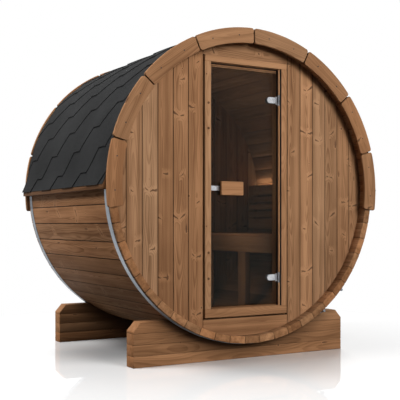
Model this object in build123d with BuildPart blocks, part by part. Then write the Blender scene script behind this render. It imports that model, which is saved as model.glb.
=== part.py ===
import math
import os

from build123d import *

# Barrel sauna lying on two cradles, in mm with +Z up. The door end faces -Y.
# The shell is coopered: tapered staves close into a ring, two steel hoops hold it,
# and both end walls sit in a groove (the croze) cut across every stave.

# Shell
barrel_d = 2000.0
barrel_len = 1476.0
stave_count = 54
group_count = 6
stave_t = 46.0
stave_vee = 4.0
stave_gap = 0.5
croze_depth = 10.0
seat_gap = 0.3
hoop_w = 48.0
hoop_t = 2.0
hoop_inset = 22.0
lug_w = 30.0
lug_t = 14.0
lug_h = 32.0
lug_angles = (132.0, 143.5)
rear_lock_angle = -14.0
rod_d = 10.0
rod_over = 30.0

# End rings of curved boards that hang over the roof edge
arc_over = 22.0
arc_cover = 76.0
arc_t = 22.0
arc_gap = 7.0
arc_corner = 16.0
arc_turns = (25.3, 24.8, 24.2, 23.7)

# Cradles, each laminated from four layers
cradle_len = 1603.0
cradle_h = 276.0
cradle_t = 97.0
cradle_layers = 4
cradle_chamfer_w = 49.0
cradle_chamfer_h = 55.0
under_barrel = 106.0
cradle_front_inset = 91.0
cradle_rear_inset = 15.0

# End walls
wall_recess = 71.0
wall_t = 42.0
board_w = 106.0

# Door frame
frame_w = 632.0
frame_face = 44.0
frame_proud = 8.5
sill_face = 54.0
head_face = 38.0
shadow_gap = 9.7
shadow_depth = 26.0
frame_back = 58.0
corner_top = 59.7
corner_low = 60.0
stop_w = 16.0
stop_t = 10.0

# Glass door
glass_t = 8.0
glass_set = 46.0
glass_clear = 8.0
stop_clear = 6.0
clamp_w = 54.0
clamp_h = 41.0
clamp_t = 11.0
knuckle_d = 11.0
knuckle_clear = 6.0
plate_w = 20.0
plate_h = 69.0
plate_t = 4.0
plate_fore = 7.7
ear_h = 5.0
hinge_share = 0.873
hinge_low_share = 0.1135
handle_w = 168.0
handle_h = 89.0
handle_t = 20.0
handle_off = 16.0
handle_edge = 75.0
handle_share = 0.49
post_d = 16.0
catch_w = 80.0
catch_h = 31.0
catch_t = 6.0

# Roof skin and the cant strip under its flared eave
skin_t = 8.5
skin_lift = 3.0
flare_angle = 6.0
flare_out = 50.0
cant_edge = 25.0

# Bench along the right wall
bench_set = 9.0
seat_share = 0.3124
seat_t = 22.0
seat_clear = 22.0
slat_gap = 8.0
slat_count = 5
slat_nose = 7.0
fascia_t = 22.0
fascia_h = 114.0
bearer_h = 70.0
bearer_t = 45.0
bearer_shares = (-0.055, 0.36)
leg_w = 95.0
leg_t = 45.0
bench_end_gap = 3.0
back_clear = 43.0
back_t = 22.0
back_low = 30.0
back_row_shares = ((0.0, 0.225), (0.27, 0.398), (0.443, 0.56), (0.605, 0.733), (0.78, 1.0))
back_h_share = 0.369
back_end_gap = 67.0
upright_t = 28.0
upright_w = 60.0
upright_shares = (-0.31, -0.07, 0.17)

# Derived levels and radii
outer_r = barrel_d / 2
inner_r = outer_r - stave_t
axis_z = under_barrel + outer_r
half_len = barrel_len / 2
step = 360 / stave_count
half_step = math.radians(step / 2)
outer_flat = outer_r * math.cos(half_step)
inner_flat = inner_r * math.cos(half_step)
wall_r = inner_r + croze_depth - seat_gap
wall_front = -half_len + wall_recess
wall_back = half_len - wall_recess
fit_r = inner_flat - seat_gap
hoop_r = outer_r + seat_gap
hoop_out = hoop_r + hoop_t

hole_half = frame_w / 2 + shadow_gap + seat_gap
corner_z = math.sqrt(inner_r ** 2 - hole_half ** 2)
hole_top = axis_z + corner_z - corner_top
hole_low = axis_z - corner_z + corner_low
frame_top = hole_top - seat_gap
frame_low = hole_low + seat_gap + shadow_gap
reveal = frame_w / 2 - frame_face
soffit = frame_top - head_face
sill_top = frame_low + sill_face
frame_rear = wall_front + wall_t + frame_back
flange = hole_half - seat_gap
shadow_back = wall_front + shadow_depth

frame_front = wall_front - frame_proud
glass_front = frame_front + glass_set
glass_back = glass_front + glass_t
glass_half = reveal - glass_clear
glass_low = sill_top + glass_clear
glass_top = soffit - glass_clear
glass_h = glass_top - glass_low
hinge_x = reveal - plate_t - knuckle_clear - knuckle_d / 2
hinge_y = glass_front - seat_gap - clamp_t / 2
hinge_levels = (glass_low + glass_h * hinge_low_share, glass_low + glass_h * hinge_share)
handle_z = glass_low + glass_h * handle_share
handle_x = -glass_half + handle_edge + handle_w / 2

bench_front = frame_w / 2 + bench_set
seat_top = axis_z - inner_r * seat_share
seat_low = seat_top - seat_t
seat_end = math.sqrt(fit_r ** 2 - (axis_z - seat_low) ** 2) - seat_clear
slat_w = (seat_end - bench_front + slat_nose - (slat_count - 1) * slat_gap) / slat_count
fascia_top = seat_low - seat_gap
bench_near = frame_rear + bench_end_gap
bench_far = wall_back - wall_t - bench_end_gap
inside_len = wall_back - wall_front - 2 * wall_t
back_foot = seat_top + back_low
back_h = inner_r * back_h_share
back_wall = math.sqrt(fit_r ** 2 - (axis_z - back_foot) ** 2) - back_clear
back_x = back_wall - upright_t - seat_gap - back_t

os.makedirs("parts", exist_ok=True)


def upright_plane(y_back, level=0):
    """An upright plane at y_back; extruding from it runs towards the door end."""
    return Plane(origin=(0, y_back, level), x_dir=(1, 0, 0), z_dir=(0, -1, 0))


def save(piece, name):
    piece.part.label = name
    export_step(piece.part, "parts/" + name + ".step")


def slab(low, high):
    """A box between two opposite corners."""
    size = [b - a for a, b in zip(low, high)]
    middle = [(a + b) / 2 for a, b in zip(low, high)]
    with Locations(tuple(middle)):
        Box(*size)


def around(angles):
    """Places on the barrel axis, turned clockwise from the top as the door end is seen."""
    return [Location((0, 0, axis_z), (0, angle, 0)) for angle in angles]


# One stave, standing for the top of the ring, with the croze cut near both ends
outer_w = outer_r * math.sin(half_step) - stave_gap / 2
inner_w = inner_r * math.sin(half_step) - stave_gap / 2
vee_w = outer_w - stave_vee * math.tan(half_step)
stave_outline = [
    (-inner_w, inner_flat),
    (inner_w, inner_flat),
    (vee_w, outer_flat - stave_vee),
    (outer_w - stave_vee, outer_flat),
    (stave_vee - outer_w, outer_flat),
    (-vee_w, outer_flat - stave_vee),
]
with BuildPart() as stave:
    with BuildSketch(upright_plane(half_len)):
        Polygon(*stave_outline, align=None)
    extrude(amount=barrel_len)
    for croze_y in (wall_front + wall_t / 2, wall_back - wall_t / 2):
        with Locations(Location((0, croze_y, 0), (90, 0, 0))):
            Cylinder(wall_r + seat_gap, wall_t + 2 * seat_gap, mode=Mode.SUBTRACT)

group_names = ("top", "right_high", "right_low", "bottom", "left_low", "left_high")
per_group = stave_count // group_count
for place, group_name in enumerate(group_names):
    first = place * per_group - (per_group - 1) / 2
    with BuildPart() as staves:
        with Locations(*around([step * (first + turn) for turn in range(per_group)])):
            add(stave.part)
    save(staves, "staves_" + group_name)

# Hoops, each closed by two lugs and a threaded rod low on the right
lug_r = hoop_r + lug_h / 2
rod_turn = sum(lug_angles) / 2
rod_half = math.radians((lug_angles[1] - lug_angles[0]) / 2)
rod_r = lug_r * math.cos(rod_half)
rod_len = 2 * lug_r * math.sin(rod_half) + 2 * rod_over
for hoop_name, hoop_back, lock_angle in (
    ("hoop_front", hoop_inset + hoop_w - half_len, 0),
    ("hoop_rear", half_len - hoop_inset, rear_lock_angle),
):
    with BuildPart() as hoop:
        with BuildSketch(upright_plane(hoop_back)):
            with Locations((0, axis_z)):
                Circle(hoop_out)
                Circle(hoop_r, mode=Mode.SUBTRACT)
        extrude(amount=hoop_w)
        with Locations(*around([angle + lock_angle for angle in lug_angles])):
            with Locations((0, hoop_back - hoop_w / 2, lug_r)):
                Box(lug_t, lug_w, lug_h)
        with Locations(*around([rod_turn + lock_angle])):
            with Locations(Location((0, hoop_back - hoop_w / 2, rod_r), (0, 90, 0))):
                Cylinder(rod_d / 2, rod_len)
    save(hoop, hoop_name)

# Curved end boards, a little shorter towards the eaves
arc_out = outer_r + arc_over
arc_in = outer_r - arc_cover
arc_half_gap = math.degrees(arc_gap / 2 / outer_r)
for end_name, arc_back in (
    ("front", -half_len - seat_gap),
    ("rear", half_len + seat_gap + arc_t),
):
    for side_name, side in (("left", -1), ("right", 1)):
        with BuildPart() as arcs:
            joint = 0
            for arc_turn in arc_turns:
                middle = 90 - side * (joint + arc_turn / 2)
                half_turn = arc_turn / 2 - arc_half_gap
                with BuildSketch(upright_plane(arc_back, axis_z)) as arc_face:
                    with BuildLine():
                        CenterArc((0, 0), arc_out, middle - half_turn, 2 * half_turn)
                        CenterArc((0, 0), arc_in, middle - half_turn, 2 * half_turn)
                        for end_turn in (middle - half_turn, middle + half_turn):
                            edge = math.radians(end_turn)
                            Line(
                                (arc_out * math.cos(edge), arc_out * math.sin(edge)),
                                (arc_in * math.cos(edge), arc_in * math.sin(edge)),
                            )
                    make_face()
                    fillet(arc_face.vertices(), arc_corner)
                extrude(amount=arc_t)
                joint += arc_turn
        save(arcs, end_name + "_arc_" + side_name)

# Cradles: full layers below, split by the saddle above
layer_h = cradle_h / cradle_layers
for cradle_name, cradle_back in (
    ("cradle_front", -half_len + cradle_front_inset + cradle_t),
    ("cradle_rear", half_len - cradle_rear_inset),
):
    with BuildPart() as cradle:
        for layer in range(cradle_layers):
            layer_low = layer * layer_h
            layer_cut = seat_gap if layer > 0 else 0
            with BuildSketch(upright_plane(cradle_back)):
                half = cradle_len / 2
                chamfer_z = cradle_h - cradle_chamfer_h
                Polygon(
                    (-half, 0),
                    (half, 0),
                    (half, chamfer_z),
                    (half - cradle_chamfer_w, cradle_h),
                    (cradle_chamfer_w - half, cradle_h),
                    (-half, chamfer_z),
                    align=None,
                )
                with Locations((0, layer_low + layer_cut + (layer_h - layer_cut) / 2)):
                    Rectangle(cradle_len, layer_h - layer_cut, mode=Mode.INTERSECT)
                with Locations((0, axis_z)):
                    Circle(outer_r + seat_gap, mode=Mode.SUBTRACT)
            extrude(amount=cradle_t)
        with Locations(Location((0, half_len - hoop_inset - hoop_w / 2, axis_z), (90, 0, 0))):
            Cylinder(hoop_out + seat_gap, hoop_w + 2 * seat_gap, mode=Mode.SUBTRACT)
    save(cradle, cradle_name)


def wall_boards(y_back, x_from, x_to):
    """Upright boards of an end wall between two lines, cut to the croze circle."""
    count = max(1, round((x_to - x_from) / board_w))
    pitch = (x_to - x_from) / count
    for board in range(count):
        with BuildSketch(upright_plane(y_back)) as face:
            with Locations((x_from + pitch * (board + 1 / 2), axis_z)):
                Rectangle(pitch - stave_gap, 2 * wall_r)
            with Locations((0, axis_z)):
                Circle(wall_r, mode=Mode.INTERSECT)
        extrude(face.sketch, amount=wall_t)


# Front wall on both sides of the door, over it and under it
with BuildPart() as front_left:
    wall_boards(wall_front + wall_t, -wall_r, -hole_half)
save(front_left, "front_wall_left")

with BuildPart() as front_right:
    wall_boards(wall_front + wall_t, hole_half, wall_r)
save(front_right, "front_wall_right")

inner_board_half = hole_half - stave_gap / 2
for piece_name, piece_low, piece_high in (
    ("front_wall_header", hole_top, axis_z + wall_r),
    ("front_wall_apron", axis_z - wall_r, hole_low),
):
    with BuildPart() as wall_piece:
        with BuildSketch(upright_plane(wall_front + wall_t)):
            with Locations((0, (piece_low + piece_high) / 2)):
                Rectangle(2 * inner_board_half, piece_high - piece_low)
            with Locations((0, axis_z)):
                Circle(wall_r, mode=Mode.INTERSECT)
        extrude(amount=wall_t)
    save(wall_piece, piece_name)

for part_name, x_from, x_to in (
    ("rear_wall_left", -wall_r, -wall_r / 3),
    ("rear_wall_middle", -wall_r / 3, wall_r / 3),
    ("rear_wall_right", wall_r / 3, wall_r),
):
    with BuildPart() as rear_wall:
        wall_boards(wall_back, x_from, x_to)
    save(rear_wall, part_name)

# Door frame, just proud of the wall and stepped back at its sides and foot to leave a shadow gap
for jamb_name, side in (("jamb_left", -1), ("jamb_right", 1)):
    with BuildPart() as jamb:
        faces = sorted((side * reveal, side * frame_w / 2))
        flanges = sorted((side * reveal, side * flange))
        slab((faces[0], frame_front, sill_top + seat_gap), (faces[1], shadow_back, soffit - seat_gap))
        slab((flanges[0], shadow_back, sill_top + seat_gap), (flanges[1], frame_rear, soffit - seat_gap))
    save(jamb, jamb_name)

with BuildPart() as head:
    slab((-frame_w / 2, frame_front, soffit), (frame_w / 2, shadow_back, frame_top))
    slab((-flange, shadow_back, soffit), (flange, frame_rear, frame_top))
save(head, "door_head")

with BuildPart() as sill:
    slab((-frame_w / 2, frame_front, frame_low), (frame_w / 2, shadow_back, sill_top))
    slab((-flange, shadow_back, frame_low - shadow_gap), (flange, frame_rear, sill_top))
save(sill, "door_sill")

stop_front = glass_back + stop_clear
with BuildPart() as stops:
    slab(
        (-reveal + seat_gap, stop_front, soffit - stop_w),
        (reveal - seat_gap, stop_front + stop_t, soffit - seat_gap),
    )
    slab(
        (-reveal + seat_gap, stop_front, sill_top + seat_gap),
        (stop_w - reveal, stop_front + stop_t, soffit - stop_w - seat_gap),
    )
save(stops, "door_stops")

# Glass door with its clamps, handles and catch
with BuildPart() as glass:
    slab((-glass_half, glass_front, glass_low), (glass_half, glass_back, glass_top))
save(glass, "door_glass")

with BuildPart() as clamps:
    for level in hinge_levels:
        for clamp_back in (glass_front - seat_gap, glass_back + seat_gap + clamp_t):
            with BuildSketch(upright_plane(clamp_back)):
                with Locations((hinge_x - clamp_w / 2, level)):
                    Rectangle(clamp_w, clamp_h)
                with Locations((hinge_x - clamp_w, level)):
                    Circle(clamp_h / 2)
            extrude(amount=clamp_t)
        with Locations((hinge_x, hinge_y, level)):
            Cylinder(knuckle_d / 2, clamp_h)
save(clamps, "hinge_clamps")

with BuildPart() as plates:
    ear_z = clamp_h / 2 + seat_gap + ear_h / 2
    plate_in = reveal - seat_gap
    plate_y = hinge_y - plate_fore
    for level in hinge_levels:
        slab(
            (plate_in - plate_t, plate_y - plate_w / 2, level - plate_h / 2),
            (plate_in, plate_y + plate_w / 2, level + plate_h / 2),
        )
        for end in (-1, 1):
            with Locations((hinge_x, hinge_y, level + end * ear_z)):
                Cylinder(knuckle_d / 2, ear_h)
            with Locations(((hinge_x + plate_in - plate_t) / 2, hinge_y, level + end * ear_z)):
                Box(plate_in - plate_t - hinge_x, knuckle_d / 2, ear_h)
save(plates, "hinge_plates")

for handle_name, grip_front in (
    ("handle_outside", glass_front - seat_gap - handle_off - handle_t),
    ("handle_inside", glass_back + seat_gap + handle_off),
):
    with BuildPart() as handle:
        slab(
            (handle_x - handle_w / 2, grip_front, handle_z - handle_h / 2),
            (handle_x + handle_w / 2, grip_front + handle_t, handle_z + handle_h / 2),
        )
        fillet(handle.edges().filter_by(Axis.Y), handle_t / 6)
    save(handle, handle_name)

with BuildPart() as posts:
    post_len = handle_off - seat_gap
    for post_y in (glass_front - seat_gap - post_len / 2, glass_back + seat_gap + post_len / 2):
        for post_x in (handle_x - handle_w / 4, handle_x + handle_w / 4):
            with Locations(Location((post_x, post_y, handle_z), (90, 0, 0))):
                Cylinder(post_d / 2, post_len)
save(posts, "handle_posts")

with BuildPart() as catch:
    slab(
        (-glass_half, glass_front - seat_gap - catch_t, handle_z - catch_h / 2),
        (catch_w - glass_half, glass_front - seat_gap, handle_z + catch_h / 2),
    )
save(catch, "door_catch")

# Roof skins: concentric with the barrel, then flared over the cant strip at the eave
skin_out = outer_r + skin_lift + skin_t
flare = math.radians(flare_angle)
flare_x = skin_out * math.cos(flare)
flare_z = skin_out * math.sin(flare)
tip_x = outer_r + flare_out
run = math.hypot(tip_x - flare_x, flare_z)
along_x = (tip_x - flare_x) / run
along_z = flare_z / run
inner_x = flare_x - skin_t * along_z
inner_z = flare_z - skin_t * along_x
skin_in = math.hypot(inner_x, inner_z)
inner_turn = math.degrees(math.atan2(inner_z, inner_x))
inner_tip_x = tip_x - skin_t * along_z
inner_tip_z = -skin_t * along_x
ridge = math.degrees(seat_gap / outer_r)
skin_len = barrel_len - 2 * seat_gap
for roof_name, side in (("roof_left", -1), ("roof_right", 1)):
    with BuildPart() as roof:
        with BuildSketch(upright_plane(half_len - seat_gap, axis_z)):
            with BuildLine():
                if side > 0:
                    outer_arc = CenterArc((0, 0), skin_out, flare_angle, 90 - ridge - flare_angle)
                    inner_arc = CenterArc((0, 0), skin_in, inner_turn, 90 - ridge - inner_turn)
                else:
                    outer_arc = CenterArc((0, 0), skin_out, 180 - flare_angle, flare_angle + ridge - 90)
                    inner_arc = CenterArc((0, 0), skin_in, 180 - inner_turn, inner_turn + ridge - 90)
                Line(outer_arc @ 1, inner_arc @ 1)
                Polyline(
                    outer_arc @ 0,
                    (side * tip_x, 0),
                    (side * inner_tip_x, inner_tip_z),
                    inner_arc @ 0,
                )
            make_face()
        extrude(amount=skin_len)
    save(roof, roof_name)

# Cant strips: the slanted face lies under the flare, the inner face against the hoops
cant_in = hoop_out + seat_gap
slope = along_x / along_z
rest_x = inner_tip_x - seat_gap / along_z
cant_low = inner_tip_z - cant_edge
cant_high = (rest_x - cant_in) / slope + inner_tip_z
for cant_name, side in (("eave_left", -1), ("eave_right", 1)):
    with BuildPart() as cant:
        with BuildSketch(upright_plane(half_len - seat_gap, axis_z)):
            Polygon(
                (side * cant_in, cant_low),
                (side * rest_x, cant_low),
                (side * rest_x, inner_tip_z),
                (side * cant_in, cant_high),
                align=None,
            )
        extrude(amount=skin_len)
    save(cant, cant_name)

# Bench along the right wall: slats on bearers, a fascia, legs and a slatted back
with BuildPart() as seat:
    for slat in range(slat_count):
        slat_x = bench_front - slat_nose + slat * (slat_w + slat_gap)
        slab((slat_x, bench_near, seat_low), (slat_x + slat_w, bench_far, seat_top))
save(seat, "bench_seat")

with BuildPart() as fascia:
    slab(
        (bench_front, bench_near, fascia_top - fascia_h),
        (bench_front + fascia_t, bench_far, fascia_top),
    )
save(fascia, "bench_fascia")

bearer_x = bench_front + fascia_t + seat_gap
with BuildPart() as bearers:
    for share in bearer_shares:
        with BuildSketch(upright_plane(share * inside_len + bearer_t / 2)):
            with Locations(((bearer_x + inner_r) / 2, fascia_top - bearer_h / 2)):
                Rectangle(inner_r - bearer_x, bearer_h)
            with Locations((0, axis_z)):
                Circle(fit_r, mode=Mode.INTERSECT)
        extrude(amount=bearer_t)
save(bearers, "bench_bearers")

with BuildPart() as legs:
    leg_top = fascia_top - bearer_h - seat_gap
    for share in bearer_shares:
        with BuildSketch(upright_plane(share * inside_len + leg_w / 2)):
            with Locations((bearer_x + leg_t / 2, leg_top - inner_r / 2)):
                Rectangle(leg_t, inner_r)
            with Locations((0, axis_z)):
                Circle(fit_r, mode=Mode.INTERSECT)
        extrude(amount=leg_w)
save(legs, "bench_legs")

with BuildPart() as back:
    for low_share, high_share in back_row_shares:
        slab(
            (back_x, bench_near + back_end_gap, back_foot + back_h * low_share),
            (back_x + back_t, bench_far - back_end_gap, back_foot + back_h * high_share),
        )
save(back, "backrest_slats")

with BuildPart() as uprights:
    upright_x = back_x + back_t + seat_gap
    for share in upright_shares:
        upright_y = share * inside_len
        slab(
            (upright_x, upright_y - upright_w / 2, seat_top + seat_gap),
            (upright_x + upright_t, upright_y + upright_w / 2, back_foot + back_h),
        )
save(uprights, "backrest_uprights")
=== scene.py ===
import math
import random

import bpy
from mathutils import Matrix, Vector

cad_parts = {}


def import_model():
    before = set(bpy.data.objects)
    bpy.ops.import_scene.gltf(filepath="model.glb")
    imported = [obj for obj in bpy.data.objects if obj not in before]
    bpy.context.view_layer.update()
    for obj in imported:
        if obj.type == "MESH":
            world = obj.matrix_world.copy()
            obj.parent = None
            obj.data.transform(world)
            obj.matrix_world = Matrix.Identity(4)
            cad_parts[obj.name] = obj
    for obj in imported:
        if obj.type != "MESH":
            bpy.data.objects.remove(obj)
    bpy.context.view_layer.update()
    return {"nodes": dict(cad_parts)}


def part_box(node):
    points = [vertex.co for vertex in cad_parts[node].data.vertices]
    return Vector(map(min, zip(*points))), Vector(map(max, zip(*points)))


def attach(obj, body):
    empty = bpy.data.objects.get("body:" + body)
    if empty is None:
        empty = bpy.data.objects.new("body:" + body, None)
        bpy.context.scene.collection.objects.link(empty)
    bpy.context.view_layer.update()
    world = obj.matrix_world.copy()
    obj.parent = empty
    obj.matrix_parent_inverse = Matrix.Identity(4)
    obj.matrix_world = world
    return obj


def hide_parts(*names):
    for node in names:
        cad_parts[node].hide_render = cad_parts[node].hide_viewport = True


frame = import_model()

BOARD_LUCK = random.Random(11)

# Lines of the barrel and its door, in metres, read from the frame
HOOP_T = 0.002
HOOP_EASE = 0.0003
STAVE_DEPTH = 0.0478
CRADLE_CHAMFER = 0.058
HOOP_LOW, HOOP_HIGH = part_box("hoop_front")
HOOP_R = (HOOP_HIGH.x - HOOP_LOW.x) / 2
AXIS_Z = HOOP_LOW.z + HOOP_R
STAVE_R = HOOP_R - HOOP_T - HOOP_EASE
INNER_R = STAVE_R - STAVE_DEPTH
HALF_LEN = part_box("staves_top")[1].y
ROOF_EDGE = -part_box("roof_left")[0].x
CRADLE_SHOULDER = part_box("cradle_front")[1].z - CRADLE_CHAMFER
JAMB_LOW, JAMB_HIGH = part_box("jamb_right")
REVEAL = JAMB_LOW.x
SILL_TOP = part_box("door_sill")[1].z
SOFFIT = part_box("door_head")[0].z
GLASS_LOW, GLASS_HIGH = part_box("door_glass")
PLATE_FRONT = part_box("hinge_plates")[0].y

# How meshes are merged and rounded; angles for soften are in degrees
MERGE_WITHIN = 0.00002
FLAT_WITHIN = math.radians(0.8)
SMOOTH_ANGLE = math.radians(32)
EDGE_ANGLE = 30
RIM_ANGLE = 45


def deselect():
    bpy.ops.object.select_all(action="DESELECT")


def take(piece):
    """Makes one piece the only one that the next operators act on."""
    deselect()
    bpy.context.view_layer.objects.active = piece
    piece.select_set(True)


def open_edit(piece):
    """Opens a piece in edit mode with all of it selected."""
    take(piece)
    bpy.ops.object.mode_set(mode="EDIT")
    bpy.ops.mesh.select_all(action="SELECT")


def close_edit():
    bpy.ops.object.mode_set(mode="OBJECT")


def pick_points(piece, wanted):
    """Opens a piece in edit mode with only the wanted points selected."""
    take(piece)
    bpy.ops.object.mode_set(mode="EDIT")
    bpy.ops.mesh.select_mode(type="VERT")
    bpy.ops.mesh.select_all(action="DESELECT")
    close_edit()
    for point in piece.data.vertices:
        point.select = wanted(point.co)
    bpy.ops.object.mode_set(mode="EDIT")


def apply_modifier(piece, kind, **values):
    take(piece)
    modifier = piece.modifiers.new(kind.title(), kind)
    for name, value in values.items():
        setattr(modifier, name, value)
    bpy.ops.object.modifier_apply(modifier=modifier.name)


def soften(piece, width, steps=2, sharper_than=EDGE_ANGLE):
    """Rounds every edge that is sharper than the given angle."""
    apply_modifier(piece, "BEVEL", width=width, segments=steps, limit_method="ANGLE",
                   angle_limit=math.radians(sharper_than), use_clamp_overlap=True)
    take(piece)
    bpy.ops.object.shade_smooth_by_angle(angle=SMOOTH_ANGLE)


def rest_in_mesh():
    bpy.ops.object.transform_apply(location=True, rotation=True, scale=True)
    return bpy.context.object


def block(name, low, high, edge, steps=2):
    """A block between two corners, with its edges rounded."""
    low, high = Vector(low), Vector(high)
    deselect()
    bpy.ops.mesh.primitive_cube_add(size=1, location=(low + high) / 2, scale=high - low)
    piece = rest_in_mesh()
    piece.name = piece.data.name = name
    soften(piece, edge, steps)
    return piece


def disc(name, centre, radius, depth, axis, sides, edge):
    """A round or hexagonal head, centred on a point, with its edges rounded."""
    turn = Vector((0, 0, 1)).rotation_difference(Vector(axis)).to_euler()
    deselect()
    bpy.ops.mesh.primitive_cylinder_add(vertices=sides, radius=radius, depth=depth,
                                        location=centre, rotation=turn)
    piece = rest_in_mesh()
    piece.name = piece.data.name = name
    soften(piece, edge, sharper_than=RIM_ANGLE)
    return piece


def copy_at(piece, shift):
    """A copy of a piece with a mesh of its own, moved by the given shift."""
    mesh = piece.data.copy()
    mesh.transform(Matrix.Translation(shift))
    twin = bpy.data.objects.new(piece.name, mesh)
    bpy.context.scene.collection.objects.link(twin)
    return twin


def join(name, pieces):
    deselect()
    for piece in pieces:
        piece.select_set(True)
    bpy.context.view_layer.objects.active = pieces[0]
    if len(pieces) > 1:
        bpy.ops.object.join()
    pieces[0].name = pieces[0].data.name = name
    return pieces[0]


def node_copy(name, node):
    """A merged copy of a solid's mesh, as a piece of its own."""
    mesh = frame["nodes"][node].data.copy()
    mesh.materials.clear()
    mesh.name = name
    piece = bpy.data.objects.new(name, mesh)
    bpy.context.scene.collection.objects.link(piece)
    open_edit(piece)
    bpy.ops.mesh.remove_doubles(threshold=MERGE_WITHIN)
    bpy.ops.mesh.dissolve_limited(angle_limit=FLAT_WITHIN)
    close_edit()
    return piece


def fit_out(piece, body, slot, material, *nodes):
    """Gives a piece its finish, its body and the solids that it stands for."""
    if material:
        piece.data.materials.clear()
        piece.data.materials.append(material)
    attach(piece, body)
    if nodes:
        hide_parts(*nodes)
    return piece


# Boards and their grain

# How far along the trunk, beside its pith and above or below it a board may be cut
GRAIN_RUN = 60
PITH_ASIDE = 0.03
PITH_BELOW = (0.012, 0.055)
HANDLE_PITH = (0.03, 0.08)
# How squarely a face has to look along the grain, or into a joint
END_FACING = 0.75
JOINT_FACING = 0.2
JOINT_SPAN = 0.6


def boards_of(mesh):
    """The separate boards of a mesh, as lists of point numbers."""
    leader = list(range(len(mesh.vertices)))

    def lead(point):
        while leader[point] != point:
            leader[point] = leader[leader[point]]
            point = leader[point]
        return point

    for edge in mesh.edges:
        first, second = edge.vertices
        leader[lead(first)] = lead(second)
    boards = {}
    for point in range(len(leader)):
        boards.setdefault(lead(point), []).append(point)
    return list(boards.values())


def board_axes(points, lie):
    """Middle of a board and the directions along, across and through its grain."""
    low = Vector(map(min, *points))
    high = Vector(map(max, *points))
    middle = (low + high) / 2
    if lie in ("stave", "arc"):
        middle = sum(points, Vector()) / len(points)
        out = Vector((middle.x, 0, middle.z - AXIS_Z)).normalized()
        round_way = Vector((out.z, 0, -out.x))
        if lie == "stave":
            return middle, Vector((0, 1, 0)), round_way, out
        return middle, round_way, out, Vector((0, 1, 0))
    unit = [Vector((1, 0, 0)), Vector((0, 1, 0)), Vector((0, 0, 1))]
    if lie == "layer":
        return middle, unit[0], unit[2], unit[1]
    order = sorted(range(3), key=lambda axis: low[axis] - high[axis])
    return middle, unit[order[0]], unit[order[1]], unit[order[2]]


def lay_grain(piece, lie="long", pith=PITH_BELOW, joint_shade=0.0, mix=1.0, tone=0.5):
    """Gives each board its own run of grain, tint and end grain, and paints shade on its faces that look
    into the joints.
    """
    mesh = piece.data
    grain = [0.0] * (3 * len(mesh.vertices))
    tint = [0.0] * len(mesh.vertices)
    axes_of = [None] * len(mesh.vertices)
    for board in boards_of(mesh):
        points = [mesh.vertices[i].co for i in board]
        middle, along, across, through = board_axes(points, lie)
        start = BOARD_LUCK.uniform(0, GRAIN_RUN)
        aside = BOARD_LUCK.uniform(-PITH_ASIDE, PITH_ASIDE)
        below = BOARD_LUCK.uniform(*pith) * BOARD_LUCK.choice((-1, 1))
        shade = tone + mix * (BOARD_LUCK.random() - 0.5)
        for i in board:
            away = mesh.vertices[i].co - middle
            grain[3 * i:3 * i + 3] = (away.dot(along) + start, away.dot(across) + aside,
                                      away.dot(through) + below)
            tint[i] = shade
            axes_of[i] = along, along if lie == "arc" else across
    ends = [0.0] * len(mesh.polygons)
    joints = [0.0] * len(mesh.polygons)
    open_above = CRADLE_SHOULDER if lie == "layer" else math.inf
    # Painted shade: faces that look into a joint between boards are darkened; on the cradles only those
    # below the shoulders
    for face in mesh.polygons:
        along, to_joint = axes_of[face.vertices[0]]
        ends[face.index] = float(abs(face.normal.dot(along)) > END_FACING)
        if face.center.z < open_above:
            facing = (abs(face.normal.dot(to_joint)) - JOINT_FACING) / JOINT_SPAN
            joints[face.index] = joint_shade * min(1.0, max(0.0, facing))
    mesh.attributes.new("grain", "FLOAT_VECTOR", "POINT").data.foreach_set("vector", grain)
    mesh.attributes.new("tint", "FLOAT", "POINT").data.foreach_set("value", tint)
    mesh.attributes.new("end_grain", "FLOAT", "FACE").data.foreach_set("value", ends)
    mesh.attributes.new("joint_shade_paint", "FLOAT", "FACE").data.foreach_set("value", joints)


def boards(node, slot, material, edge, lie="long", joint_shade=0.0, mix=1.0, tone=0.5):
    """Boards of one solid with eased edges, their own grain and painted shade in their joints."""
    piece = node_copy(node + "_wood", node)
    soften(piece, edge)
    lay_grain(piece, lie, joint_shade=joint_shade, mix=mix, tone=tone)
    return fit_out(piece, "cabin", slot, material, node)


# Nodes of the finishes

VALUE, COLOUR, VECTOR = "NodeSocketFloat", "NodeSocketColor", "NodeSocketVector"


def feed(tree, value, socket):
    if isinstance(value, bpy.types.NodeSocket):
        tree.links.new(value, socket)
    else:
        socket.default_value = value


def put(tree, kind, inputs=None, **settings):
    """Places a node with its settings, then feeds or fills its inputs."""
    made = tree.nodes.new(kind)
    for name, value in settings.items():
        setattr(made, name, value)
    for key, value in (inputs or {}).items():
        feed(tree, value, made.inputs[key])
    return made


def figure_of(tree, operation, first, second=0.0, third=0.0, clamp=False):
    made = put(tree, "ShaderNodeMath", {0: first, 1: second, 2: third},
               operation=operation, use_clamp=clamp)
    return made.outputs[0]


def plus(tree, first, second):
    return figure_of(tree, "ADD", first, second)


def times(tree, first, second):
    return figure_of(tree, "MULTIPLY", first, second)


def line(tree, value, slope, start):
    return figure_of(tree, "MULTIPLY_ADD", value, slope, start)


def stretch(tree, vector, scale):
    made = put(tree, "ShaderNodeVectorMath", {0: vector, 1: scale}, operation="MULTIPLY")
    return made.outputs["Vector"]


def length_of(tree, vector):
    return put(tree, "ShaderNodeVectorMath", {0: vector}, operation="LENGTH").outputs["Value"]


def axes_in(tree, vector):
    return put(tree, "ShaderNodeSeparateXYZ", {0: vector}).outputs


def draws_in(tree, colour):
    return put(tree, "ShaderNodeSeparateColor", {0: colour}).outputs


def fade(tree, value, start, end, low=0.0, high=1.0):
    made = put(tree, "ShaderNodeMapRange", {"Value": value, "From Min": start, "From Max": end,
                                            "To Min": low, "To Max": high},
               interpolation_type="SMOOTHSTEP")
    return made.outputs[0]


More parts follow.
